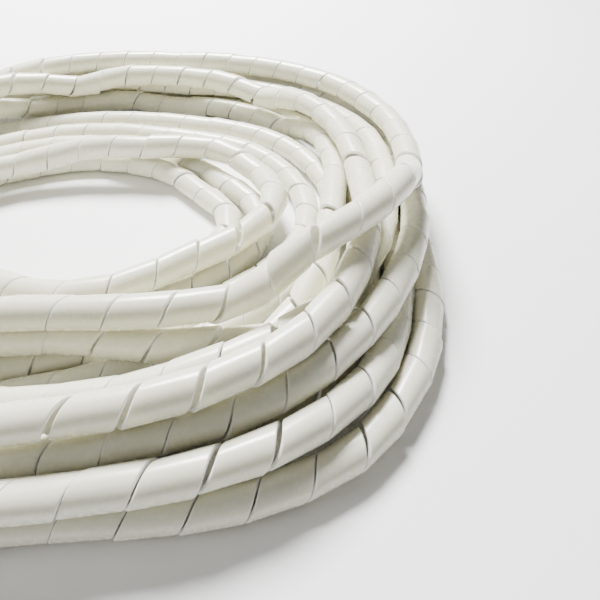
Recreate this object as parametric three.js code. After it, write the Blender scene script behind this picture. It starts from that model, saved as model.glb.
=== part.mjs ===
// A spiral cable wrap: one long polyethylene tube, slit along a helix, sold as a loose coil.
// Millimetres, +Z up. The coil lies on z = 0, with the middle of its box over the origin.
// Seen from above the wrap runs clockwise, and each turn is laid on the turns before it.
import * as THREE from 'three';

// The wrap itself.
const WRAP_DIAMETER = 12;
const WALL = 1.4;
const WRAP_LENGTH = 10000;

// How the wrap lies in its coil.
const TURN_GAP = 0.6;
const BEND_REACH = 20;

// Distance of the centre line from the middle of the coil, one turn a row, from the floor up, at
// left, far left, far, far right, right, near right, near and near left.
const TURNS = [
  [218, 192, 176, 163, 141, 155, 138, 182],
  [204, 179, 163, 149, 128, 144, 137, 169],
  [190, 166, 150, 136, 115, 129, 111, 141],
  [164, 137, 110, 109, 102, 87, 93, 127],
  [148, 120, 91, 90, 88, 73, 79, 111],
  [132, 104, 68, 57, 66, 60, 61, 94],
  [116, 82, 54, 43, 50, 47, 47, 77],
  [130, 149, 137, 123, 100, 104, 81, 109],
  [182, 187, 156, 156, 138, 132, 123, 151],
  [169, 172, 143, 143, 125, 114, 107, 123],
  [143, 146, 134, 123, 113, 124, 120, 141],
  [156, 160, 150, 152, 133, 99, 81, 100],
  [108, 70, 53, 66, 72, 56, 60, 69],
];
const STATIONS = TURNS[0].length;

// How finely the coil is worked out.
const LAY_STEP = 3;
const SECTIONS_PER_TURN = 28;
const OUTER_SIDES = 8;
const BORE_SIDES = 6;

const wrapMaterial = new THREE.MeshStandardMaterial({
  name: 'natural_polyethylene',
  color: 0xe9e8e0,
  roughness: 0.35,
  metalness: 0,
});

// Distance from the middle of the coil at any place along the turns, where 1 is one station.
function radiusAt(place) {
  const station = Math.floor(place);
  const radius = (index) => {
    const turn = Math.min(Math.max(Math.floor(index / STATIONS), 0), TURNS.length - 1);
    return TURNS[turn][((index % STATIONS) + STATIONS) % STATIONS];
  };
  const [before, here, next, after] = [-1, 0, 1, 2].map((offset) => radius(station + offset));
  const u = place - station;
  return here + 0.5 * u * (next - before
    + u * (2 * before - 5 * here + 4 * next - after + u * (3 * (here - next) + after - before)));
}

// The centre line seen from above: even steps, each with its place along the turns.
function layPlan() {
  const fine = Math.PI / 180;
  const points = [];
  let angle = 0;
  let travelled = 0;
  let last = null;
  while (points.length * LAY_STEP <= WRAP_LENGTH) {
    const place = (angle / (2 * Math.PI)) * STATIONS;
    const radius = radiusAt(place);
    const point = { x: -radius * Math.cos(angle), y: radius * Math.sin(angle), place };
    const reach = last ? Math.hypot(point.x - last.x, point.y - last.y) : 0;
    while (points.length * LAY_STEP <= travelled + reach) {
      const share = reach > 0 ? (points.length * LAY_STEP - travelled) / reach : 0;
      const from = last ?? point;
      points.push({
        x: THREE.MathUtils.lerp(from.x, point.x, share),
        y: THREE.MathUtils.lerp(from.y, point.y, share),
        place: THREE.MathUtils.lerp(from.place, point.place, share),
      });
    }
    travelled += reach;
    last = point;
    angle += fine;
  }
  return points;
}

// Where the wrap passes over or beside itself: the lower point, the upper one, and the least rise.
function findCrossings(points) {
  const contact = WRAP_DIAMETER + TURN_GAP;
  const cells = new Map();
  const crossings = [];
  points.forEach((point, upper) => {
    const column = Math.floor(point.x / contact);
    const row = Math.floor(point.y / contact);
    for (let i = column - 1; i <= column + 1; i += 1) {
      for (let j = row - 1; j <= row + 1; j += 1) {
        for (const lower of cells.get(`${i},${j}`) ?? []) {
          const apart = Math.hypot(point.x - points[lower].x, point.y - points[lower].y);
          const isOtherTurn = point.place - points[lower].place > STATIONS / 2;
          if (apart < contact && isOtherTurn) {
            crossings.push({ lower, upper, rise: Math.sqrt(contact ** 2 - apart ** 2) });
          }
        }
      }
    }
    const key = `${column},${row}`;
    cells.set(key, [...(cells.get(key) ?? []), upper]);
  });
  return crossings;
}

// Bends the centre line over what carries it: the highest support within reach, then smoothed over
// the same reach, so that no point comes lower than its own support.
function bendOver(support) {
  const reach = BEND_REACH / LAY_STEP;
  const steps = Math.ceil(reach);
  const at = (list, index) => list[Math.min(Math.max(index, 0), list.length - 1)];
  const offsets = Array.from({ length: 2 * steps + 1 }, (_, i) => i - steps);
  const weights = offsets.map((offset) => 1 + Math.cos((Math.PI * offset) / (reach + 1)));
  const total = weights.reduce((sum, weight) => sum + weight, 0);
  const highest = support.map((_, i) => Math.max(...offsets.map((offset) => at(support, i + offset))));
  return highest.map((_, i) => offsets.reduce(
    (sum, offset, k) => sum + at(highest, i + offset) * weights[k], 0) / total);
}

// Heights of the centre line, with every turn resting on the floor and the turns below it. Each pass
// settles at least one more turn.
function settle(points, floorHeight) {
  const crossings = findCrossings(points);
  let heights = points.map(() => floorHeight);
  for (let pass = 0; pass < TURNS.length; pass += 1) {
    const support = points.map(() => floorHeight);
    for (const { lower, upper, rise } of crossings) {
      support[upper] = Math.max(support[upper], heights[lower] + rise);
    }
    heights = bendOver(support);
  }
  return heights;
}

// The centre line as a curve whose steps are its own points and whose section stays upright.
class WrapPath extends THREE.CatmullRomCurve3 {
  getPointAt(u, target) {
    return this.getPoint(u, target);
  }

  computeFrenetFrames(segments) {
    const up = new THREE.Vector3(0, 0, 1);
    const frames = { tangents: [], normals: [], binormals: [] };
    for (let i = 0; i <= segments; i += 1) {
      const tangent = this.getTangent(i / segments);
      const normal = new THREE.Vector3().crossVectors(up, tangent).normalize();
      frames.tangents.push(tangent);
      frames.normals.push(normal);
      frames.binormals.push(new THREE.Vector3().crossVectors(tangent, normal));
    }
    return frames;
  }
}

// The coil's centre line, with one point for each section of the tube.
function makePath(floorHeight) {
  const plan = layPlan();
  const heights = settle(plan, floorHeight);
  const perSection = STATIONS / SECTIONS_PER_TURN;
  const points = [];
  plan.forEach(({ x, y, place }, i) => {
    const isEnd = i === plan.length - 1;
    if (place >= points.length * perSection || isEnd) points.push(new THREE.Vector3(x, y, heights[i]));
  });
  return new WrapPath(points);
}

// A regular polygon with one flat facing down.
function polygon(radius, sides) {
  return Array.from({ length: sides }, (_, i) => {
    const angle = -Math.PI / 2 + (2 * Math.PI * (i + 0.5)) / sides;
    return new THREE.Vector2(radius * Math.cos(angle), radius * Math.sin(angle));
  });
}

// The whole wrap, a tube with its bore open at both cut ends.
function makeWrap() {
  const radius = WRAP_DIAMETER / 2;
  const section = new THREE.Shape(polygon(radius, OUTER_SIDES));
  section.holes.push(new THREE.Path(polygon(radius - WALL, BORE_SIDES)));
  const path = makePath(radius * Math.cos(Math.PI / OUTER_SIDES));
  const geometry = new THREE.ExtrudeGeometry(section, {
    extrudePath: path,
    steps: path.points.length - 1,
    bevelEnabled: false,
  });
  geometry.computeBoundingBox();
  const middle = geometry.boundingBox.getCenter(new THREE.Vector3());
  geometry.translate(-middle.x, -middle.y, -geometry.boundingBox.min.z);
  const wrap = new THREE.Mesh(geometry, wrapMaterial);
  wrap.name = 'spiral_wrap';
  return wrap;
}

const coil = new THREE.Group();
coil.name = 'spiral_wrap_coil';
coil.add(makeWrap());

export default coil;
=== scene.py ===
"""A loose coil of spiral cable wrap, dressed for its photograph.

Metres, +Z up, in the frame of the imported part. The wrap is one band of natural polyethylene wound
into a tube. Its centre line is laid turn on turn as in the part's source, and the band is wound
round that line, stiff along each straight length, so that its seams open where the coil bends.
"""
import logging
import math
from dataclasses import dataclass
from enum import Enum

import bpy
import numpy as np
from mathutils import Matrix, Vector


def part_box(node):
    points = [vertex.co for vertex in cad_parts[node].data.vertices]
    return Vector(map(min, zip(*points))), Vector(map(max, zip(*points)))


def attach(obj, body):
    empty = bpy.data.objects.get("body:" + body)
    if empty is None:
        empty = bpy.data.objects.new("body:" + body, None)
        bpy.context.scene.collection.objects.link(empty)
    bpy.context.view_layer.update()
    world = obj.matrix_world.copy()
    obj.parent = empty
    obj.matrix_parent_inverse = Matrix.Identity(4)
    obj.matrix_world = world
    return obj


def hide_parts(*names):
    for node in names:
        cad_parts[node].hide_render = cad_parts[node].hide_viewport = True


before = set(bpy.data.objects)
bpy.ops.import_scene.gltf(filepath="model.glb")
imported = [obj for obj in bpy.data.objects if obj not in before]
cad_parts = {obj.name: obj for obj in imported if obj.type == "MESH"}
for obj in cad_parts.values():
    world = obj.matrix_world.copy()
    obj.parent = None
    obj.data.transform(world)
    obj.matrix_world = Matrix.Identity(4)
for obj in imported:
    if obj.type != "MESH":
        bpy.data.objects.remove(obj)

log = logging.getLogger("spiral_wrap")

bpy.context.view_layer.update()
MILLIMETRE = 0.001

# Distance of the centre line from the middle of the coil in millimetres, one turn a row, from the
# floor up, at left, far left, far, far right, right, near right, near and near left.
TURNS = (
    (218, 192, 176, 163, 141, 155, 138, 182),
    (204, 179, 163, 149, 128, 144, 137, 169),
    (190, 166, 150, 136, 115, 129, 111, 141),
    (164, 137, 110, 109, 102, 87, 93, 127),
    (148, 120, 91, 90, 88, 73, 79, 111),
    (132, 104, 68, 57, 66, 60, 61, 94),
    (116, 82, 54, 43, 50, 47, 47, 77),
    (130, 149, 137, 123, 100, 104, 81, 109),
    (182, 187, 156, 156, 138, 132, 123, 151),
    (169, 172, 143, 143, 125, 114, 107, 123),
    (143, 146, 134, 123, 113, 124, 120, 141),
    (156, 160, 150, 152, 133, 99, 81, 100),
    (108, 70, 53, 66, 72, 56, 60, 69),
)


class Slot(Enum):
    """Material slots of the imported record."""

    WRAP = "wrap"


class Noise(Enum):
    """Seeds of the slow random courses that make the wrap uneven, one for each use."""

    SLACK = 11
    PULLED = 12
    SWELL = 13
    LIFT = 14
    SWAY = 15
    SHIFT_SIDE = 16
    SHIFT_UP = 17


def slow_course(at: np.ndarray, wavelength: float, noise: Noise) -> np.ndarray:
    """A smooth random course along a line.

    Args:
        at: Places along the line.
        wavelength: Distance between two random values, in the units of at.
        noise: Which of the seeded courses to follow.

    Returns:
        One value from -1 to 1 for each place.
    """
    steps = np.asarray(at) / wavelength
    knots = np.random.default_rng(noise.value).uniform(-1.0, 1.0, int(np.max(steps)) + 3)
    whole = np.clip(np.floor(steps).astype(int), 0, len(knots) - 2)
    share = np.clip(steps - whole, 0.0, 1.0)
    ease = share * share * (3.0 - 2.0 * share)
    return knots[whole] * (1.0 - ease) + knots[whole + 1] * ease


def unit(vectors: np.ndarray) -> np.ndarray:
    """Make vectors one unit long.

    Args:
        vectors: One vector a row.

    Returns:
        The same directions, each one unit long.
    """
    return vectors / np.linalg.norm(vectors, axis=1, keepdims=True)


@dataclass
class CoilRoute:
    """The centre line of the wrap, laid in its coil from the floor up."""

    turns: tuple = TURNS
    length: float = 10.0
    diameter: float = 0.012
    turn_gap: float = 0.0006
    bend_reach: float = 0.020
    lay_step: float = 0.003

    def radius_at(self, place: np.ndarray) -> np.ndarray:
        """Distance from the middle of the coil along the turns.

        Args:
            place: Places along the turns, where 1 is one station.

        Returns:
            One distance for each place, on a smooth curve through the table's values.
        """
        stations = len(self.turns[0])
        table = np.array(self.turns, float) * MILLIMETRE
        station = np.floor(place).astype(int)
        around = []
        for offset in (-1, 0, 1, 2):
            index = station + offset
            turn = np.clip(index // stations, 0, len(self.turns) - 1)
            around.append(table[turn, index % stations])
        before, here, after, beyond = around
        u = place - station
        bend = 3.0 * (here - after) + beyond - before
        lean = 2.0 * before - 5.0 * here + 4.0 * after - beyond
        return here + 0.5 * u * (after - before + u * (lean + u * bend))

    def plan(self) -> np.ndarray:
        """The centre line seen from above, as even steps.

        Returns:
            For each step its x and y, measured from the middle of the coil, and its place along
            the turns.
        """
        angle = np.radians(np.arange(360 * (len(self.turns) + 1)))
        place = angle / math.tau * len(self.turns[0])
        radius = self.radius_at(place)
        x, y = -radius * np.cos(angle), radius * np.sin(angle)
        travelled = np.concatenate([[0.0], np.cumsum(np.hypot(np.diff(x), np.diff(y)))])
        steps = np.arange(0.0, self.length, self.lay_step)
        return np.column_stack([np.interp(steps, travelled, values) for values in (x, y, place)])

    def crossings(self, plan: np.ndarray) -> tuple[np.ndarray, np.ndarray, np.ndarray]:
        """Where the wrap passes over or beside itself.

        Args:
            plan: The centre line seen from above.

        Returns:
            The lower points, the upper points, and the least rise from one to the other.
        """
        contact = self.diameter + self.turn_gap
        half_turn = len(self.turns[0]) / 2
        lower, upper, rise = [], [], []
        for index, (x, y, place) in enumerate(plan):
            before = plan[plan[:, 2] < place - half_turn]
            apart = np.hypot(before[:, 0] - x, before[:, 1] - y)
            near = np.flatnonzero(apart < contact)
            lower.append(near)
            upper.append(np.full(len(near), index))
            rise.append(np.sqrt(contact**2 - apart[near] ** 2))
        return np.concatenate(lower), np.concatenate(upper), np.concatenate(rise)

    def bend_over(self, support: np.ndarray) -> np.ndarray:
        """Bend the centre line over what carries it.

        Args:
            support: The least height of each point.

        Returns:
            Smooth heights, none of them below its own support.
        """
        reach = self.bend_reach / self.lay_step
        steps = math.ceil(reach)
        offsets = np.arange(-steps, steps + 1)
        weights = 1.0 + np.cos(np.pi * offsets / (reach + 1))
        padded = np.pad(support, steps, mode="edge")
        highest = np.lib.stride_tricks.sliding_window_view(padded, 2 * steps + 1).max(axis=1)
        return np.convolve(np.pad(highest, steps, mode="edge"), weights / weights.sum(), mode="valid")

    def heights(self, plan: np.ndarray) -> np.ndarray:
        """Rest every turn on the floor and on the turns below it.

        Args:
            plan: The centre line seen from above.

        Returns:
            The height of each of its points.
        """
        floor_height = self.diameter / 2
        lower, upper, rise = self.crossings(plan)
        heights = np.full(len(plan), floor_height)
        for _ in self.turns:
            support = np.full(len(plan), floor_height)
            np.maximum.at(support, upper, heights[lower] + rise)
            heights = self.bend_over(support)
        return heights

    def middle(self, plan: np.ndarray) -> np.ndarray:
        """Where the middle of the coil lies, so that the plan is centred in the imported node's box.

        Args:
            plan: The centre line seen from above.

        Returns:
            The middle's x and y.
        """
        low, high = (np.array(corner)[:2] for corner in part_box("spiral_wrap"))
        return (low + high) / 2 - (plan[:, :2].min(axis=0) + plan[:, :2].max(axis=0)) / 2

    def points(self) -> np.ndarray:
        """The whole centre line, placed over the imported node.

        Returns:
            One x, y, z row for each step.
        """
        plan = self.plan()
        return np.column_stack([plan[:, :2] + self.middle(plan), self.heights(plan)])


@dataclass(frozen=True)
class NaturalPolyethylene:
    """The wrap's finish: milky plastic that lets light through, with a soft gloss and a painted highlight
    along the band's cut edges.
    """

    name: str = "natural_polyethylene"
    milk: tuple = (0.83, 0.81, 0.66, 1.0)
    cloud: tuple = (0.75, 0.73, 0.57, 1.0)
    # Painted highlight: a lighter colour on the band's cut edges that stands in for the light rims along
    # the seams.
    painted_edge_highlight: tuple = (0.94, 0.925, 0.83, 1.0)
    glow_weight: float = 0.45
    glow_reach: tuple = (1.0, 0.92, 0.72)
    glow_scale: float = 0.004
    gloss: tuple = (0.20, 0.36)
    cloud_scale: float = 38.0
    scuff_scale: float = 420.0
    streak_scale: float = 900.0
    ripple_height: float = 0.00006
    refraction: float = 1.5

    def build(self) -> bpy.types.Material:
        """Make the material.

        Returns:
            A material that reads object coordinates, the band's UV map and its painted_edge_highlight attribute.
        """
        material = bpy.data.materials.new(self.name)
        material.use_nodes = True
        nodes, links = material.node_tree.nodes, material.node_tree.links
        shader = nodes["Principled BSDF"]
        shader.inputs["Subsurface Weight"].default_value = self.glow_weight
        shader.inputs["Subsurface Radius"].default_value = self.glow_reach
        shader.inputs["Subsurface Scale"].default_value = self.glow_scale
        shader.inputs["IOR"].default_value = self.refraction

        place = nodes.new("ShaderNodeTexCoord")
        clouds = nodes.new("ShaderNodeTexNoise")
        clouds.inputs["Scale"].default_value = self.cloud_scale
        clouds.inputs["Detail"].default_value = 3.0
        links.new(place.outputs["Object"], clouds.inputs["Vector"])

        body = nodes.new("ShaderNodeMix")
        body.data_type = "RGBA"
        body.inputs["A"].default_value = self.cloud
        body.inputs["B"].default_value = self.milk
        links.new(clouds.outputs["Fac"], body.inputs["Factor"])

        # Painted highlight: the edge mask mixes the lighter colour into the cut edges, where light
        # catches the seams.
        edge = nodes.new("ShaderNodeAttribute")
        edge.attribute_name = SpiralBand.EDGE_HIGHLIGHT
        rim = nodes.new("ShaderNodeMix")
        rim.data_type = "RGBA"
        rim.inputs["B"].default_value = self.painted_edge_highlight
        links.new(edge.outputs["Fac"], rim.inputs["Factor"])
        links.new(body.outputs["Result"], rim.inputs["A"])
        links.new(rim.outputs["Result"], shader.inputs["Base Color"])

        scuffs = nodes.new("ShaderNodeTexNoise")
        scuffs.inputs["Scale"].default_value = self.scuff_scale
        scuffs.inputs["Detail"].default_value = 5.0
        scuffs.inputs["Roughness"].default_value = 0.65
        links.new(place.outputs["Object"], scuffs.inputs["Vector"])
        gloss = nodes.new("ShaderNodeMapRange")
        gloss.inputs["From Min"].default_value = 0.35
        gloss.inputs["From Max"].default_value = 0.75
        gloss.inputs["To Min"].default_value = self.gloss[0]
        gloss.inputs["To Max"].default_value = self.gloss[1]
        links.new(scuffs.outputs["Fac"], gloss.inputs["Value"])
        links.new(gloss.outputs["Result"], shader.inputs["Roughness"])

        drawn = nodes.new("ShaderNodeMapping")
        drawn.inputs["Scale"].default_value = (self.streak_scale, self.streak_scale * 0.04, 1.0)
        links.new(place.outputs["UV"], drawn.inputs["Vector"])
        streaks = nodes.new("ShaderNodeTexNoise")
        streaks.inputs["Scale"].default_value = 1.0
        streaks.inputs["Detail"].default_value = 2.0
        links.new(drawn.outputs["Vector"], streaks.inputs["Vector"])
        ripple = nodes.new("ShaderNodeBump")
        ripple.inputs["Strength"].default_value = 0.35
        ripple.inputs["Distance"].default_value = self.ripple_height
        links.new(streaks.outputs["Fac"], ripple.inputs["Height"])
        links.new(ripple.outputs["Normal"], shader.inputs["Normal"])
        return material


@dataclass
class SpiralBand:
    """The band that is wound into the tube, stiff along each straight length."""

    # Name of the mask of the painted highlight along the band's cut edges.
    EDGE_HIGHLIGHT = "painted_edge_highlight"
    UV = "band"

    route: CoilRoute
    finish: NaturalPolyethylene
    wall: float = 0.0014
    width: float = 0.0172
    closed_seam: float = 0.00006
    slack: float = 0.0005
    pulled: float = 0.0032
    give: float = 0.8
    sharpest_bend: float = 0.3
    slack_wavelength: float = 0.050
    pulled_wavelength: float = 0.040
    pulled_from: float = 0.60
    bend_window: int = 13
    edge_round: float = 0.0005
    steps: int = 20
    swell: float = 0.00010
    shift: float = 0.00036
    lift: float = 0.028
    sway: float = 0.026
    least_width: float = 0.0008

    def section(self, low: np.ndarray, high: np.ndarray) -> tuple[np.ndarray, np.ndarray]:
        """The band's section across its width.

        Args:
            low: Where each section starts, along the tube.
            high: Where each section ends, along the tube.

        Returns:
            Places along the tube and distances from its axis, eight of each for every section.
        """
        outer = self.route.diameter / 2
        edge = np.minimum(self.edge_round, (high - low) / 4)
        soft = 0.3 * edge
        along = [low, low, low + soft, low + edge, high - edge, high - soft, high, high]
        inner = np.full(len(low), outer - self.wall)
        away = [inner, outer - edge, outer - soft, inner * 0 + outer]
        return np.stack(along, axis=1), np.stack(away + away[::-1], axis=1)

    def pitch(self, travelled: np.ndarray, bend: np.ndarray) -> np.ndarray:
        """Advance of one wind: the band's width and what its seam is open.

        Args:
            travelled: Places along the centre line.
            bend: How sharply the line bends at each place, as one over a radius.

        Returns:
            The advance at each place. The seams close on the inside of a bend and open outside.
        """
        inside = np.minimum(bend * self.route.diameter / 2, self.sharpest_bend)
        butted = self.width * (1.0 - self.give * inside) / (1.0 - inside)
        slack = self.slack * (0.5 + 0.5 * slow_course(travelled, self.slack_wavelength, Noise.SLACK))
        pulled = slow_course(travelled, self.pulled_wavelength, Noise.PULLED) - self.pulled_from
        pulled = np.clip(pulled, 0.0, 1.0) / (1.0 - self.pulled_from)
        return butted + self.closed_seam + slack + self.pulled * pulled

    def wind(self) -> tuple[np.ndarray, np.ndarray, np.ndarray]:
        """Wind the band round the centre line.

        Returns:
            The vertices, each one's nearness to a cut edge, which sets the painted edge highlight, and
            its place on the flat band.
        """
        line = self.route.points()
        travelled = np.concatenate([[0.0], np.cumsum(np.linalg.norm(np.diff(line, axis=0), axis=1))])
        tangent = unit(np.gradient(line, axis=0))
        turning = np.gradient(tangent, axis=0) / np.gradient(travelled)[:, None]
        smooth = np.hanning(self.bend_window)
        padded = np.pad(turning, ((self.bend_window // 2,) * 2, (0, 0)), mode="edge")
        turning = np.column_stack([
            np.convolve(course, smooth / smooth.sum(), mode="valid") for course in padded.T
        ])
        total = travelled[-1]

        fine = np.arange(-self.width / 2, total + self.width / 2, self.route.lay_step / 3)
        bend = np.interp(fine, travelled, np.linalg.norm(turning, axis=1))
        advance = self.pitch(np.clip(fine, 0.0, total), bend)
        winds = np.concatenate([[0.0], np.cumsum(np.diff(fine) / advance[1:])])
        wind = np.arange(0.0, winds[-1], 1.0 / self.steps)
        centre = np.interp(wind, winds, fine)
        low = np.maximum(-self.width / 2, -centre)
        high = np.minimum(self.width / 2, total - centre)
        whole = high - low > self.least_width
        wind, centre, low, high = wind[whole], centre[whole], low[whole], high[whole]

        held = np.clip(centre, 0.0, total)
        at = np.column_stack([np.interp(held, travelled, line[:, axis]) for axis in range(3)])
        along = unit(np.column_stack([np.interp(held, travelled, tangent[:, axis]) for axis in range(3)]))
        at += along * (centre - held)[:, None]
        side = unit(np.cross([0.0, 0.0, 1.0], along))
        up = np.cross(along, side)
        turn = -math.tau * wind
        out = side * np.cos(turn)[:, None] + up * np.sin(turn)[:, None]
        round_about = np.cross(along, out)
        turned = np.column_stack([np.interp(held, travelled, turning[:, axis]) for axis in range(3)])
        stretch = 1.0 - self.give * self.route.diameter / 2 * np.einsum("ij,ij->i", turned, out)
        at += side * (self.shift * slow_course(wind, 0.8, Noise.SHIFT_SIDE))[:, None]
        at += up * (self.shift * slow_course(wind, 0.8, Noise.SHIFT_UP))[:, None]
        along = unit(along + out * (self.lift * slow_course(wind, 0.7, Noise.LIFT))[:, None]
                     + round_about * (self.sway * slow_course(wind, 0.9, Noise.SWAY))[:, None])

        places, away = self.section(low * stretch, high * stretch)
        away = away + (self.swell * slow_course(wind, 1.3, Noise.SWELL))[:, None]
        vertices = (at[:, None, :] + along[:, None, :] * places[:, :, None]
                    + out[:, None, :] * away[:, :, None])
        sunk = np.maximum(-vertices[:, :, 2].min(axis=1), 0.0)
        vertices[:, :, 2] += self.route.bend_over(sunk)[:, None]
        # Share of the painted highlight at each corner of the section, full on the cut edges.
        painted_highlight_share = np.array([1.0, 1.0, 0.8, 0.0, 0.0, 0.8, 1.0, 1.0])
        round_length = wind * math.hypot(math.pi * self.route.diameter, self.width)
        sides = np.hypot(np.diff(places), np.diff(away))
        across = np.cumsum(np.concatenate([places[:, :1] * 0, sides], axis=1), axis=1)
        flat = np.stack([np.broadcast_to(round_length[:, None], across.shape), across], axis=2)
        return vertices, np.broadcast_to(painted_highlight_share, across.shape), flat

    def build(self) -> bpy.types.Object:
        """Returns:
            The finished piece.
        """
        vertices, edge, flat = self.wind()
        rows, corners = vertices.shape[:2]
        ring = np.arange(corners)
        following = (ring + 1) % corners
        first = np.arange(rows - 1)[:, None] * corners
        quads = np.stack([first + ring, first + following, first + corners + following,
                          first + corners + ring], axis=2).reshape(-1, 4)
        faces = [tuple(ring[::-1]), *map(tuple, quads.tolist()), tuple(ring + (rows - 1) * corners)]
        mesh = bpy.data.meshes.new("spiral_band")
        mesh.from_pydata(vertices.reshape(-1, 3).tolist(), [], faces)
        mesh.update()

        # Store the mask of the painted edge highlight.
        cut = mesh.attributes.new(self.EDGE_HIGHLIGHT, "FLOAT", "POINT")
        cut.data.foreach_set("value", edge.reshape(-1).astype(np.float32))
        chart = mesh.uv_layers.new(name=self.UV)
        corner_of = np.empty(len(mesh.loops), dtype=np.int32)
        mesh.loops.foreach_get("vertex_index", corner_of)
        chart.data.foreach_set("uv", flat.reshape(-1, 2)[corner_of].astype(np.float32).reshape(-1))

        band = bpy.data.objects.new("spiral_band", mesh)
        bpy.context.collection.objects.link(band)
        mesh.materials.append(self.finish.build())
        self.smooth(band)
        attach(band, "root")
        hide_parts("spiral_wrap")
        line = self.route.points()
        log.info("spiral_band: %d winds, %d triangles", rows // self.steps, 2 * len(quads) + 12)
        return band

    def smooth(self, band: bpy.types.Object) -> None:
        """Shade the band round, with its inner corners sharp and its wide face even.

        Args:
            band: The band's object.
        """
        bpy.ops.object.select_all(action="DESELECT")
        band.select_set(True)
        bpy.context.view_layer.objects.active = band
        bpy.ops.object.shade_smooth_by_angle(angle=math.radians(60))
        even = band.modifiers.new("even", "WEIGHTED_NORMAL")
        even.keep_sharp = True
        bpy.ops.object.modifier_apply(modifier=even.name)


@dataclass(frozen=True)
class PaleFloorFinish:
    """The studio floor's finish."""

    name: str = "pale_floor"
    colour: tuple = (0.95, 0.95, 0.95, 1.0)
    roughness: float = 0.6

    def build(self) -> bpy.types.Material:
        """Make the floor's material.

        Returns:
            A plain matt material.
        """
        material = bpy.data.materials.new(self.name)
        material.use_nodes = True
        shader = material.node_tree.nodes["Principled BSDF"]
        shader.inputs["Base Color"].default_value = self.colour
        shader.inputs["Roughness"].default_value = self.roughness
        return material


@dataclass
class SoftLight:
    """One large soft light, aimed at the coil."""

    name: str
    place: tuple
    size: float
    watts: float
    colour: tuple = (1.0, 1.0, 1.0)

    def build(self, target: Vector) -> None:
        """Hang the light.

        Args:
            target: The point that it is aimed at.
        """
        lamp = bpy.data.lights.new(self.name, "AREA")
        lamp.shape = "DISK"
        lamp.size = self.size
        lamp.energy = self.watts
        lamp.color = self.colour
        holder = bpy.data.objects.new(self.name, lamp)
        holder.location = self.place
        holder.rotation_euler = (target - Vector(self.place)).to_track_quat("-Z", "Y").to_euler()
        bpy.context.collection.objects.link(holder)


@dataclass
class Studio:
    """The floor, the soft lights and the pale surroundings."""

    floor_size: float = 8.0
    surround: tuple = (1.0, 0.99, 0.96, 1.0)
    surround_strength: float = 0.24
    lights: tuple = (
        SoftLight("overhead", (-0.15, 0.72, 0.92), 0.45, 76.0),
        SoftLight("left", (-1.10, -0.30, 0.80), 0.7, 7.0, (1.0, 0.99, 0.96)),
    )

    def build(self) -> None:
        """Lay the floor, hang the lights and set the surroundings."""
        bpy.ops.object.select_all(action="DESELECT")
        bpy.ops.mesh.primitive_plane_add(size=self.floor_size, location=(0.0, 0.0, 0.0))
        floor = bpy.context.object
        floor.name = "pale_floor"
        floor.data.materials.append(PaleFloorFinish().build())
        for light in self.lights:
            light.build(Vector((0.0, 0.0, 0.02)))
        world = bpy.data.worlds.new("pale_surroundings")
        world.use_nodes = True
        sky = world.node_tree.nodes["Background"]
        sky.inputs["Color"].default_value = self.surround
        sky.inputs["Strength"].default_value = self.surround_strength
        bpy.context.scene.world = world


@dataclass
class PhotoCamera:
    """The camera at the photograph's place over the near edge of the coil."""

    from_middle: tuple = (0.085, -0.182, 0.142)
    dip: float = 46.0
    focal_pixels: float = 460.0
    picture_pixels: float = 600.0
    sensor: float = 36.0
    near_clip: float = 0.01

    def build(self, middle: np.ndarray) -> None:
        """Set up the camera.

        Args:
            middle: Where the middle of the coil lies on the floor.
        """
        eye = bpy.data.cameras.new("photo_camera")
        eye.sensor_width = self.sensor
        eye.lens = self.focal_pixels / self.picture_pixels * self.sensor
        eye.clip_start = self.near_clip
        holder = bpy.data.objects.new("photo_camera", eye)
        x, y, z = self.from_middle
        holder.location = (middle[0] + x, middle[1] + y, z)
        holder.rotation_euler = (math.radians(90.0 - self.dip), 0.0, 0.0)
        bpy.context.collection.objects.link(holder)
        bpy.context.scene.camera = holder


def main() -> None:
    """Set the camera, wind the wrap and light the studio."""
    logging.basicConfig(level=logging.INFO, format="%(name)s: %(message)s")
    route = CoilRoute()
    PhotoCamera().build(route.middle(route.plan()))
    SpiralBand(route, NaturalPolyethylene()).build()
    Studio().build()


if __name__ == "__main__":
    main()
